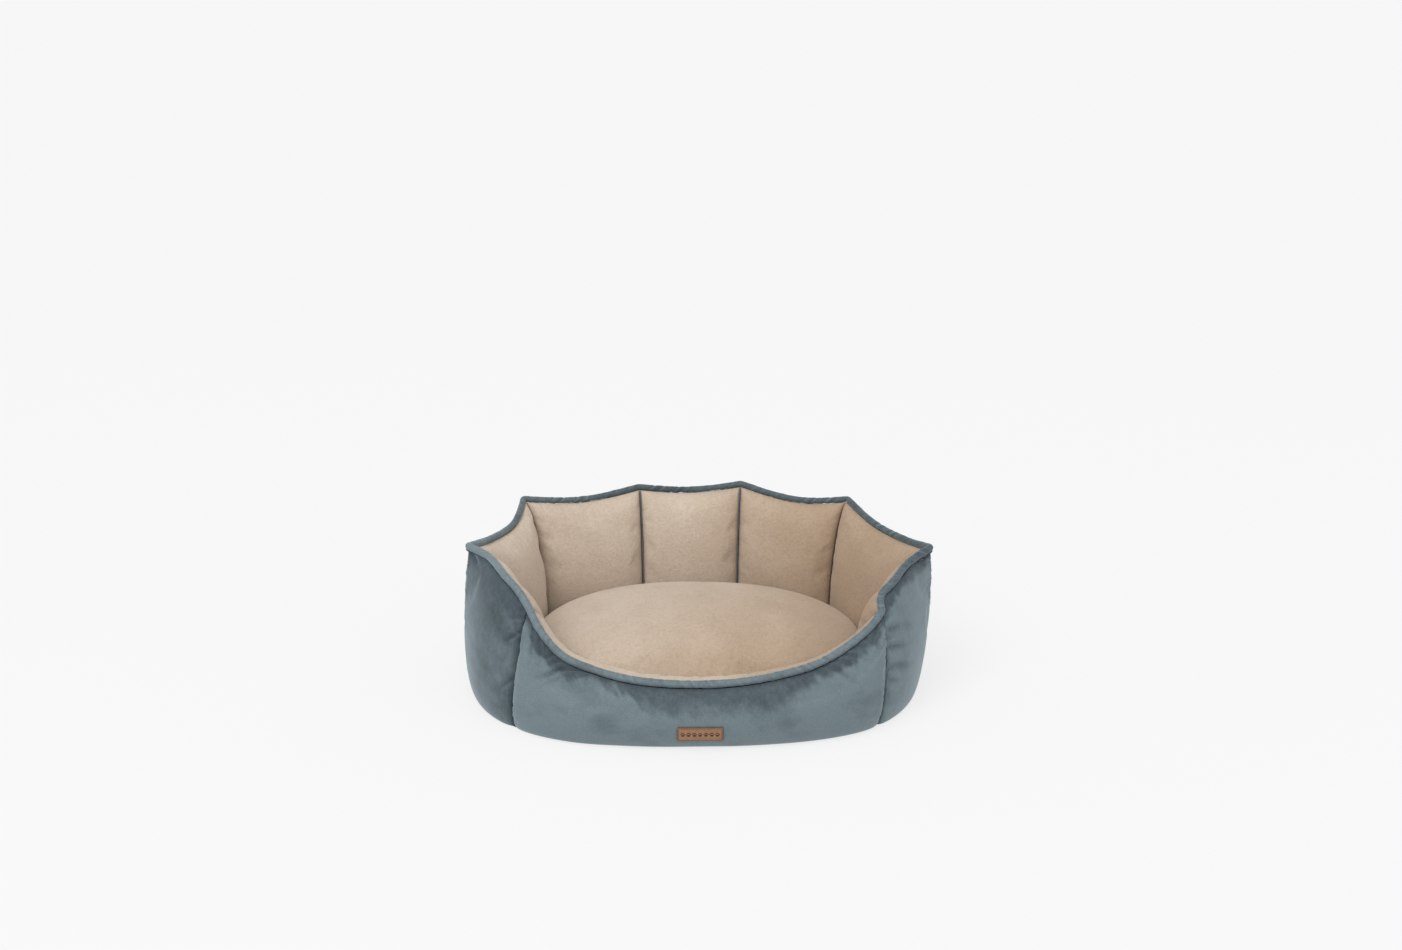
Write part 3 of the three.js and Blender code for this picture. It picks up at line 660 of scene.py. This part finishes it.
# %% Velvet covers and plush linings
for (chamber, side), grid in faces_of_wall.items():
    velvet = side == "velvet"
    kind, material = ("velvet_cover", VELVET) if velvet else ("plush_lining", PLUSH)
    piece = cloth_object(f"{kind}_{chamber}", grid, material, turn=not velvet)
    columns, rows = grid.shape[:2]
    along = np.linspace(0, rim_length[chamber], columns)[:, None]
    from_seam = np.minimum(along, rim_length[chamber] - along)
    below_rim = np.maximum(0, grid[:, -1:, 2] - grid[..., 2])
    if velvet:
        x, z = grid[..., 0], grid[..., 2]
        # Painted shade: a dark band under the piping, wider across the middle of the front, its lower edge
        # frayed by brush-stroke noise; the velvet there is also brushed upwards.
        streaks = rough(x * 0.9 + z * 0.7, z * 0.35 - x * 0.15, 9, 5, 4)
        clouds = rough(x + 0.4 * z, z + grid[..., 1], 46, 15, 2)
        reach = 13 + 19 * (chamber == "front") * eased_step(x, -110, -20) * (1 - eased_step(x, 90, 170))
        edge = below_rim + 13 * streaks + 8 * clouds
        shade = (0.92 - 0.16 * clouds) * (1 - eased_step(edge, 0.25 * reach, 1.3 * reach))
        # Painted shade along the seams.
        shade += 0.6 * np.exp(-from_seam / 2.5)
        # Painted shade: the left side panel darker all over and darkest near the top.
        if chamber == "side_left":
            shade += 0.60 - 0.06 * eased_step(z, 20, 90) + 0.42 * eased_step(z, 90, 190) + 0.12 * streaks
        # Painted shade: the right side panel a little darker.
        if chamber == "side_right":
            shade += 0.10
        # Brush-stroke mottles, and painted shade in the folds and puckers.
        shade += 0.10 * streaks + 0.08 * clouds + 0.42 * dents[chamber]
    else:
        # Painted shade: the lining darkens towards its seams.
        shade = 0.95 * np.exp(-from_seam / 2.2) + 0 * grid[..., 0]
        # Painted shade: darker and warmer towards the right, with noise.
        warm_shade = eased_step(grid[..., 0] + 0.12 * grid[..., 2], -40, 230)
        warm_shade += 0.10 * rough(grid[..., 0], grid[..., 1] + grid[..., 2], 40, 9)
        paint(piece, "warm_shade", warm_shade)
    paint(piece, "painted_shade", shade)
    finish_cloth(piece, 1.2 if velvet else 1.8, 0)
    taken = [f"{'cover' if velvet else 'lining'}_{chamber}"]
    if velvet:
        taken += [f"filling_{chamber}", f"divider_{CORNERS[CHAMBERS.index(chamber)]}"]
    belongs(piece, "bed", taken)
print("wall panels:", len(faces_of_wall))

# %% [markdown]
# ## The piping
#
# A strip of velvet folded round a cord runs along the whole rim. It could be a curve with a bevel, but
# a tube on the same grid functions lets the strip pucker: the radius ripples along the line, more in
# some stretches than in others, and twists a little, as a bias-cut strip does.

# %% Piping
PIPING_RADIUS = 5.2


def closed_rim(step):
    """All eight stretches end to end, `step` mm apart, without repeating the corners."""
    stretches = [rim_stretch(c, int(rim_length[c] / step) + 1)[0][:-1] for c in CHAMBERS]
    return np.concatenate(stretches)


def eased(line, width):
    """A closed line with its corners eased: a running mean over 2 * width + 1 points."""
    return sum(np.roll(line, k, 0) for k in range(-width, width + 1)) / (2 * width + 1)


def tube(line, forward, aside, radius, sides):
    """Circle carried along a line: p + r(s, a) * (cos a * across + sin a * upright), where across is
    square to the line's direction `forward` and to the fixed direction `aside`."""
    forward = forward / np.linalg.norm(forward, axis=1, keepdims=True)
    across = np.cross(forward, aside)
    across /= np.linalg.norm(across, axis=1, keepdims=True)
    upright = np.cross(across, forward)
    angle = np.linspace(0, 2 * np.pi, sides, endpoint=False)[None, :, None]
    ring = np.cos(angle) * across[:, None, :] + np.sin(angle) * upright[:, None, :]
    return line[:, None, :] + radius[..., None] * ring


rim = eased(closed_rim(1.4), 2)
run = np.concatenate([[0], np.cumsum(np.linalg.norm(np.diff(rim, axis=0), axis=1))])
angle = np.linspace(0, 2 * np.pi, 16, endpoint=False)
pucker = ripple(run[:, None] + 6 * np.sin(angle)[None, :], [7.3, 5.1, 11.7, 16.9], 3)
pucker *= 0.35 + 0.9 * eased_step(ripple(run, [190, 130], 5), -0.1, 1.0)[:, None]
thick = ripple(run, [61, 97, 43, 23], 8)[:, None]
slim = 1 - 0.14 * eased_step(rim[:, 1:2], -60, 100)  # pulled a little thinner round the back
radius = PIPING_RADIUS * slim * (1 + 0.055 * pucker + 0.035 * thick)
rim[:, 2] += 1.2  # it stands on the two panels' edges
round_rim = tube(rim, np.roll(rim, -1, 0) - np.roll(rim, 1, 0), [0, 0, 1.0], radius, 16)
piping = cloth_object("velvet_piping", round_rim, LIT_PIPING_VELVET, wrap_rows=True, wrap_columns=True)
# Painted shade on the piping: lightest at the far left, darker towards the back and the right, and darker in
# the gathers.
behind = eased_step(rim[:, 1:2] + 0.35 * rim[:, 0:1], -110, 20) * np.ones(16)
front = eased_step(rim[:, 0:1], -270, -120) * np.ones(16)
paint(piping, "painted_shade", 0.24 * front + 0.52 * behind + 0.28 * pucker)
smooth = piping.modifiers.new("round", "SUBSURF")
smooth.levels = smooth.render_levels = 1
belongs(piping, "bed", ["rim_piping", "piping_cord"])
print("piping runs", round(float(run[-1])), "mm")

# %% Bound seams of the rear lining
BINDING_RADIUS = 0.85
for corner in ("back_left", "back"):
    seam = faces_of_wall[(CHAMBERS[CORNERS.index(corner)], "plush")][0]
    inward = (np.array([PLAN_X, PLAN_Y]) - seam[:, :2]) / np.linalg.norm(seam[:, :2], axis=1, keepdims=True)
    seam = seam + np.pad(3.4 * inward, ((0, 0), (0, 1)))
    seam = seam[4:-2]
    taper = np.minimum(1, 3 * np.sin(np.pi * np.linspace(0, 1, len(seam)))) ** 0.5
    taper[[0, -1]] = 0  # drawn to a point at both ends
    round_seam = tube(seam, np.gradient(seam, axis=0), [0, 1.0, 0], BINDING_RADIUS * taper[:, None], 8)
    binding = cloth_object(f"seam_binding_{corner}", round_seam, LIT_PIPING_VELVET, wrap_columns=True)
    # Painted shade all along the bound seam.
    paint(binding, "painted_shade", np.full(len(binding.data.vertices), 0.75))
    weld = binding.modifiers.new("closed tips", "WELD")
    weld.merge_threshold = 0.00001
    belongs(binding, "bed")

# %% [markdown]
# ## The cushion
#
# The loose cushion is a crowned oval. A square grid bent to a disc covers it without a pole:
# x = u sqrt(1 - v^2/2), y = v sqrt(1 - u^2/2), and each point is then carried out to the outline in its
# own direction. The top rises to its crown like a dome with a full shoulder. The underside is shallow
# and lies flat on a ring, and it is made in two halves with a zip between them, so the cover comes off.


# %% A square grid on any outline
def on_outline(u, v, radius_at, middle):
    """The square (u, v) on a disc, times the outline's radius in that direction. Gives x, y and how
    far out each point is, from 0 in the middle to 1 at the outline."""
    x, y = u * np.sqrt(1 - v * v / 2), v * np.sqrt(1 - u * u / 2)
    away, angle = np.hypot(x, y), np.arctan2(y, x)
    reach = radius_at(angle) * away
    return middle[0] + reach * np.cos(angle), middle[1] + reach * np.sin(angle), away


def square(columns, rows, v_low=-1.0, v_high=1.0):
    """Grid of u from -1 to 1 and v from v_low to v_high."""
    return np.meshgrid(np.linspace(-1, 1, columns), np.linspace(v_low, v_high, rows), indexing="ij")


# %% The cushion's top
CUSHION_A, CUSHION_B, CUSHION_X, CUSHION_Y, CUSHION_POWER = 231, 160, -3, -5, 2.4
CUSHION_SEAM, CUSHION_CROWN, CUSHION_BOTTOM = 46, 109, 7.8
cushion_edge = lambda angle: rounded_oval(angle, CUSHION_A, CUSHION_B, CUSHION_POWER)

x, y, away = on_outline(*square(121, 89), cushion_edge, (CUSHION_X, CUSHION_Y))
dome = np.maximum(0, 1 - away**2.3) ** 0.56
top_grid = np.stack([x, y, CUSHION_SEAM + (CUSHION_CROWN - CUSHION_SEAM) * dome], -1)
top_grid = settle([top_grid], [False], 0.012, 2.0, 6, 12, 4.0)[0]
cushion_top = cloth_object("cushion_plush_top", top_grid, CUSHION_PLUSH)
# Painted shade round the cushion's edge seam.
paint(cushion_top, "painted_shade", 0.8 * np.exp(-(1 - away) / 0.012))
across, back = top_grid[..., 0], top_grid[..., 1]
# Painted shade: darker and warmer towards the right front, with noise.
warm_shade = 0.74 * eased_step(across - 0.5 * back, -190, 200) + 0.10 * rough(across, back, 50, 21)
paint(cushion_top, "warm_shade", warm_shade)

# %% The cushion's underside, in two halves
ZIP_HALF, ZIP_GAP, HOLLOW = 140, 5.5, 8.8


def underside(sign):
    """Half of the disc, v from 0 to sign. Its height is seam - depth * sqrt(1 - away^9), raised by the
    hollow inside away = 0.7, and its inner edge stands off the zip's middle by ZIP_GAP."""
    u, v = square(121, 46, 0.0, float(sign))
    x, y, away = on_outline(u, v, cushion_edge, (CUSHION_X, CUSHION_Y))
    depth = np.maximum(0, 1 - away**9) ** 0.5
    z = CUSHION_SEAM - (CUSHION_SEAM - CUSHION_BOTTOM) * depth
    z += HOLLOW * (1 - eased_step(away, 0.68, 0.76))
    gap = 0.15 + ZIP_GAP * (1 - eased_step(np.abs(x - CUSHION_X), ZIP_HALF, ZIP_HALF + 7))
    y += sign * gap * (1 - np.abs(v)) ** 6
    return np.stack([x, y, z + 0.35 * rough(x, y, 30, 40 + sign)], -1)


halves = {"front": underside(-1), "rear": underside(1)}
under = [cloth_object(f"cushion_plush_underside_{k}", g, CUSHION_PLUSH, turn=k == "rear")
         for k, g in halves.items()]
taken = [["cushion_top", "cushion_filling"], ["cushion_underside_front"], ["cushion_underside_rear"]]
for piece, nodes_taken in zip([cushion_top, *under], taken):
    finish_cloth(piece, 1.8)
    belongs(piece, "cushion", nodes_taken)
print("cushion", 2 * CUSHION_A, "x", 2 * CUSHION_B, "mm")

# %% [markdown]
# ## Base, floor and label
#
# Under the ring lies a dark non-slip cloth. It is smaller than the bed, because the velvet is turned
# under it all round. Rows of small rubber dots keep the bed from sliding. The floor inside is plush on
# thin wadding, and it is seen when the cushion is taken out.


# %% Cloth finishes
def woven(name, colour, weave=700, roughness=0.9):
    """Cloth with a fine grain in colour and bump."""
    cloth = Finish(name, Roughness=roughness)
    thread = cloth.noise(weave, 2, 0.6)
    dark, light = tuple(c * 0.8 for c in colour), tuple(c * 1.1 for c in colour)
    return cloth.done(cloth.ramp(thread, (0.3, dark), (0.7, light)), cloth.bump(thread, 0.4, 0.0004))


NON_SLIP = woven("non-slip base cloth", (0.030, 0.033, 0.036))
RUBBER = woven("rubber dots", (0.018, 0.018, 0.019), 400, 0.6)


def lenses(centres, sizes, turns=0.0, sides=8):
    """Many small closed lens shapes as one array: a ring of points at half height with a point above
    and one below. sizes are half widths along the turned x, along y, and half the height; one size and
    one turn do for all."""
    sizes, turns = np.broadcast_to(sizes, centres.shape), np.broadcast_to(turns, len(centres))
    angle = np.linspace(0, 2 * np.pi, sides, endpoint=False)
    ring = np.stack([np.cos(angle), np.sin(angle), 0 * angle], -1)
    shape = np.vstack([ring, [[0, 0, 1]], [[0, 0, -1]]])
    local = shape[None] * sizes[:, None, :]
    cos, sin = np.cos(turns)[:, None], np.sin(turns)[:, None]
    x, y = local[..., 0] * cos - local[..., 1] * sin, local[..., 0] * sin + local[..., 1] * cos
    points = np.stack([x, y, local[..., 2]], -1) + centres[:, None, :]
    k = np.arange(sides)
    upper = np.stack([k, (k + 1) % sides, np.full(sides, sides)], -1)
    lower = np.stack([(k + 1) % sides, k, np.full(sides, sides + 1)], -1)
    faces = np.concatenate([upper, lower])[None] + (np.arange(len(centres)) * (sides + 2))[:, None, None]
    return points.reshape(-1, 3), faces.reshape(-1, 3)


# %% Base cloth, rubber dots and floor
base_edge = lambda angle: base_outline(angle) - 12
x, y, away = on_outline(*square(81, 61), base_edge, (PLAN_X, PLAN_Y))
base = cloth_object("base_cloth_non_slip", np.stack([x, y, 2.0 + 0 * x], -1), NON_SLIP)
finish_cloth(base, 1.2, 0)

pitch = 21.0
column, row = np.meshgrid(np.arange(-16, 17), np.arange(-13, 14), indexing="ij")
x, y = pitch * (column + 0.5 * (row % 2)).ravel() + PLAN_X, pitch * 0.866 * row.ravel() + PLAN_Y
inside = np.hypot(x - PLAN_X, y - PLAN_Y) < base_edge(np.arctan2(y - PLAN_Y, x - PLAN_X)) - 12
places = np.stack([x, y, np.full(len(x), 0.62)], -1)[inside]
dots = mesh_object("rubber_dots", *lenses(places, [2.4, 2.4, 0.55]), RUBBER)
belongs(base, "bed", ["base_cloth"])
belongs(dots, "bed")
print("rubber dots:", len(places))

lining_foot = np.concatenate([faces_of_wall[(c, "plush")][:-1, 0, :2] for c in CHAMBERS])
middle = np.array([PLAN_X, PLAN_Y])
foot_angle = np.arctan2(*(lining_foot - middle).T[::-1])
foot_reach = np.linalg.norm(lining_foot - middle, axis=1)
order = np.argsort(foot_angle)
floor_edge = lambda angle: np.interp(angle, foot_angle[order], foot_reach[order], period=2 * np.pi) + 1.5
x, y, away = on_outline(*square(101, 75), floor_edge, middle)
soft = 0.5 * rough(x, y, 45, 60) * (1 - away**6)
floor_plush = cloth_object("floor_plush", np.stack([x, y, 8.6 + soft], -1), PLUSH)
# Painted shade where the floor meets the foot of the wall; the warm shade is set to half all over.
paint(floor_plush, "painted_shade", 0.5 * eased_step(away, 0.93, 1.0))
paint(floor_plush, "warm_shade", 0.5 + 0 * away)
finish_cloth(floor_plush, 1.6)
belongs(floor_plush, "bed", ["floor_lining", "base_wadding"])

# %% [markdown]
# ## The label
#
# A tan leather patch is sewn low on the front. It follows the cover, so its points are looked up on the
# cover's own grid: at each height the front's line is read off, and y is taken from it at the wanted x.
# Its edge is cut square and slightly burnt, and stitches run round it. The marks on it are paw prints,
# pressed in dark.

# %% Label patch
LABEL_X, LABEL_Z, LABEL_W, LABEL_H = 8, 27.5, 60, 21.5
front_grid = faces_of_wall[("front", "velvet")]


def on_front(x, z, lift):
    """Points on the front cover at the given x and z, `lift` mm out of it."""
    heights = np.linspace(LABEL_Z - 14, LABEL_Z + 14, 29)
    lines = []
    for height in heights:
        at = np.array([np.interp(height, c[:, 2], np.arange(len(c))) for c in front_grid])
        low = np.floor(at).astype(int)
        share = (at - low)[:, None]
        points = front_grid[np.arange(len(at)), low] * (1 - share)
        points = points + front_grid[np.arange(len(at)), np.minimum(low + 1, front_grid.shape[1] - 1)] * share
        lines.append(np.interp(np.linspace(-60, 76, 137), points[:, 0], points[:, 1]))
    lines = np.array(lines)
    lines = sum(lines[:, k : k + 117] for k in range(21)) / 21  # evened over 20 mm
    a = np.clip((z - heights[0]) / (heights[1] - heights[0]), 0, len(heights) - 1.001)
    b = np.clip(x + 50, 0, 115.999)
    i, j = np.floor(a).astype(int), np.floor(b).astype(int)
    s, t = a - i, b - j
    y = (lines[i, j] * (1 - s) * (1 - t) + lines[i + 1, j] * s * (1 - t)
         + lines[i, j + 1] * (1 - s) * t + lines[i + 1, j + 1] * s * t)
    tilt = (lines[-1].mean() - lines[0].mean()) / (heights[-1] - heights[0])
    out = np.array([0, -1, tilt]) / math.hypot(1, tilt)
    return np.stack([x, y, z], -1) + np.asarray(lift)[..., None] * out


def rounded_rectangle(u, v, width, height, corner):
    """u, v from -1 to 1 on a rectangle; what lies outside the corner's arc is drawn back on to it."""
    x, z = u * width / 2, v * height / 2
    p, q = np.maximum(np.abs(x) - (width / 2 - corner), 0), np.maximum(np.abs(z) - (height / 2 - corner), 0)
    back = np.minimum(1, corner / np.maximum(np.hypot(p, q), 1e-9))
    x = np.sign(x) * (np.minimum(np.abs(x), width / 2 - corner) + p * back)
    z = np.sign(z) * (np.minimum(np.abs(z), height / 2 - corner) + q * back)
    return x, z


hide = Finish("tan leather", Roughness=0.58)
tone = hide.ramp(hide.noise(260, 4, 0.6), (0.3, (0.235, 0.115, 0.054)), (0.7, (0.335, 0.170, 0.082)))
scorch = hide.ramp(hide.painted("burnt"), (0.0, 1), (1.0, (0.22, 0.20, 0.19)))
TAN_LEATHER = hide.done(hide.multiply(tone, scorch), hide.bump(hide.noise(1100, 3, 0.6), 0.3, 0.0003))

u, v = np.meshgrid(np.linspace(-1, 1, 73), np.linspace(-1, 1, 29), indexing="ij")
x, z = rounded_rectangle(u, v, LABEL_W, LABEL_H, 1.6)
to_edge = np.minimum(LABEL_W / 2 * (1 - np.abs(u)), LABEL_H / 2 * (1 - np.abs(v)))
groove = np.exp(-(((to_edge - 1.9) / 0.45) ** 2))
lift = 2.3 - 0.45 * np.exp(-to_edge / 0.5) - 0.25 * groove
label = cloth_object("leather_label", on_front(x + LABEL_X, z + LABEL_Z, lift), TAN_LEATHER)
paint(label, "burnt", np.exp(-to_edge / 0.9) + 0.45 * groove)
finish_cloth(label, 2.0, 0)
belongs(label, "bed", ["label_patch"])

# %% Stitches and paw prints on the label
THREAD = woven("dark brown thread", (0.034, 0.018, 0.011), 1500, 0.7)
across_run = np.arange(-LABEL_W / 2 + 3.4, LABEL_W / 2 - 3.3, 3.0)
up_run = np.arange(-LABEL_H / 2 + 3.6, LABEL_H / 2 - 3.5, 3.0)
sides_x, sides_z = LABEL_W / 2 - 1.9, LABEL_H / 2 - 1.9
stitch_x = np.concatenate([across_run, across_run, 0 * up_run - sides_x, 0 * up_run + sides_x])
stitch_z = np.concatenate([0 * across_run - sides_z, 0 * across_run + sides_z, up_run, up_run])
stitch_turn = np.concatenate([np.zeros(2 * len(across_run)), np.full(2 * len(up_run), np.pi / 2)])


def pressed(name, x, z, sizes, turns, lift):
    """Flat lens shapes laid on the label: their x and y become x and z on the cover, their height lift."""
    points, faces = lenses(np.stack([x, z, 0 * x], -1), sizes, turns, 12)
    placed = on_front(points[:, 0] + LABEL_X, points[:, 1] + LABEL_Z, lift + points[:, 2])
    return mesh_object(name, placed, faces, THREAD)


stitches = pressed("label_stitches", stitch_x, stitch_z, [1.05, 0.28, 0.26], stitch_turn, 2.12)
PAWS = 7
paw_at = np.linspace(-22.5, 22.5, PAWS)[:, None]
toe_x, toe_z = np.array([0, -2.3, -0.85, 0.85, 2.3]), np.array([-1.3, 0.8, 2.3, 2.3, 0.8])
toe_size = np.array([[2.1, 1.6, 0.12]] + [[0.72, 1.05, 0.12]] * 4)
paw_x, paw_z = (paw_at + toe_x).ravel(), np.tile(toe_z, PAWS)
paws = pressed("label_paw_prints", paw_x, paw_z, np.tile(toe_size, (PAWS, 1)), 0.0, 2.32)
belongs(stitches, "bed", ["label_thread"])
belongs(paws, "bed")
print("stitches:", len(stitch_x), "paw prints:", PAWS)

# %% [markdown]
# ## The zip under the cushion
#
# A coil zip: two woven tapes, each with a row of small nylon loops along its inner edge. The rows sit
# half a pitch apart, so that they mesh. The metal slider and its pull are the frame's own solids with
# their edges rounded, because they are hard and already have the right shape.

# %% Tapes and coils
TAPE = woven("woven zip tape", (0.42, 0.34, 0.26), 1300)
NYLON = woven("nylon coil", (0.36, 0.29, 0.21), 900, 0.45)
ZIP_TOP = CUSHION_BOTTOM + HOLLOW + 2.85
TAIL = 8  # tape that runs on past the last tooth, behind the opening's pointed ends
for name, sign in (("front", -1), ("rear", 1)):
    end = ZIP_HALF + TAIL
    along, over = np.meshgrid(np.linspace(-end, end, 149), np.linspace(0.6, 12.6, 9), indexing="ij")
    wave = 0.12 * ripple(along, [37, 23], 70 + sign) * (over / 12)
    over = over - 0.5 * eased_step(np.abs(along), 134, 137) * (12.6 - over) / 12  # the tails meet
    points = np.stack([along + CUSHION_X, sign * over + CUSHION_Y, ZIP_TOP + 0.3 + wave], -1)
    tape = cloth_object(f"zip_tape_{name}_woven", points, TAPE, turn=sign > 0)
    finish_cloth(tape, 0.6, 0)
    belongs(tape, "cushion", [f"zip_tape_{name}"])
    at = np.arange(-133.2, 133.3, 1.6) + (0.8 if sign > 0 else 0)
    centres = np.stack([at + CUSHION_X, 0 * at + sign * 1.45 + CUSHION_Y, 0 * at + ZIP_TOP - 1.2], -1)
    coil = mesh_object(f"zip_coil_{name}_loops", *lenses(centres, [0.62, 1.75, 0.85]), NYLON)
    belongs(coil, "cushion", [f"zip_coil_{name}"])

# %% Metal parts and what is left of the frame
metal = Finish("dull zinc", Metallic=1.0, Roughness=0.42)
worn = metal.noise(300, 4, 0.65)
ZINC = metal.done(metal.ramp(worn, (0.3, (0.20, 0.19, 0.175)), (0.7, (0.36, 0.345, 0.32))),
                  metal.bump(worn, 0.15, 0.0002))
FIBRE = woven("fibre filling", (0.85, 0.83, 0.79), 300)

finishes = {"velvet": VELVET, "plush": PLUSH, "fibre": FIBRE, "non_slip": NON_SLIP, "zip_tape": TAPE,
            "interlining": FIBRE, "cotton": FIBRE, "nylon": NYLON, "zinc": ZINC, "leather": TAN_LEATHER,
            "thread": THREAD}
for part in frame["record"]["subparts"]:
    node = frame["nodes"][part["node"]]
    node.data.materials.clear()
    node.data.materials.append(finishes[part["material_slot"]])

for node, body in (("zip_slider", "slider"), ("zip_pull", "pull")):
    piece = frame["nodes"][node].copy()
    piece.data = frame["nodes"][node].data.copy()
    piece.name = f"{node}_rounded"
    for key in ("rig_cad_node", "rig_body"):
        if key in piece:
            del piece[key]
    piece.parent = None
    bpy.context.scene.collection.objects.link(piece)
    weld = piece.modifiers.new("weld", "WELD")
    weld.merge_threshold = 0.00002
    soft = piece.modifiers.new("rounded", "BEVEL")
    soft.width, soft.segments, soft.angle_limit = 0.0002, 2, math.radians(40)
    belongs(piece, body, [node])

# %% [markdown]
# ## Stage, light and camera
#
# The bed stands on a light table, a pale floor lit from below, so its shadow all but vanishes. Soft
# light comes from a bright room, a broad sky and two large panels.

# %% Stage
bpy.ops.mesh.primitive_plane_add(size=60, location=(0, 10.0, 0))
floor = bpy.context.object
floor.name = "studio_floor"
light_table = Finish("studio floor", Base_Color=(0.17, 0.17, 0.17, 1), Emission_Color=(1, 1, 1, 1),
                     Emission_Strength=0.74, Roughness=0.9, Specular_IOR_Level=0.1)
floor.data.materials.append(light_table.material)

world = bpy.data.worlds.new("studio") if not bpy.context.scene.world else bpy.context.scene.world
bpy.context.scene.world = world
world.use_nodes = True
background = world.node_tree.nodes["Background"]
background.inputs["Color"].default_value = (1, 1, 1, 1)
background.inputs["Strength"].default_value = 0.62


def look_at(thing, spot, aim):
    """Stands a lamp or camera at `spot` and turns its -Z axis to `aim`: first up or down, then round."""
    away = np.array(spot, float) - np.array(aim, float)
    thing.location = spot
    pitch = math.acos(away[2] / np.linalg.norm(away))
    thing.rotation_euler = (pitch, 0, math.atan2(away[0], -away[1]))


def panel_light(name, spot, aim, size, power):
    """A square area light at `spot` that faces `aim`, in metres and watts."""
    data = bpy.data.lights.new(name, "AREA")
    data.size, data.energy = size, power
    look_at(place(name, data), spot, aim)


panel_light("key", (-1.3, -1.9, 2.4), (0, 0, 0.1), 1.2, 14)
panel_light("fill", (2.0, -1.4, 1.2), (0, 0, 0.1), 1.6, 5)
sky = bpy.data.lights.new("daylight", "SUN")
sky.energy, sky.angle = 1.5, 0.9
place("daylight", sky).rotation_euler = (0.5, -0.25, 0)

# %% Camera
camera_place = np.array([73.744, -2833.996, 1275.830]) + SHIFT
camera_aim = np.array([2.6, 0.0, 294.3]) + SHIFT
lens = bpy.data.cameras.new("camera")
lens.sensor_width = 36
lens.lens = 56.3675
camera = place("camera", lens)
look_at(camera, camera_place * MM, camera_aim * MM)
bpy.context.scene.camera = camera
bpy.context.scene.view_settings.view_transform = "Standard"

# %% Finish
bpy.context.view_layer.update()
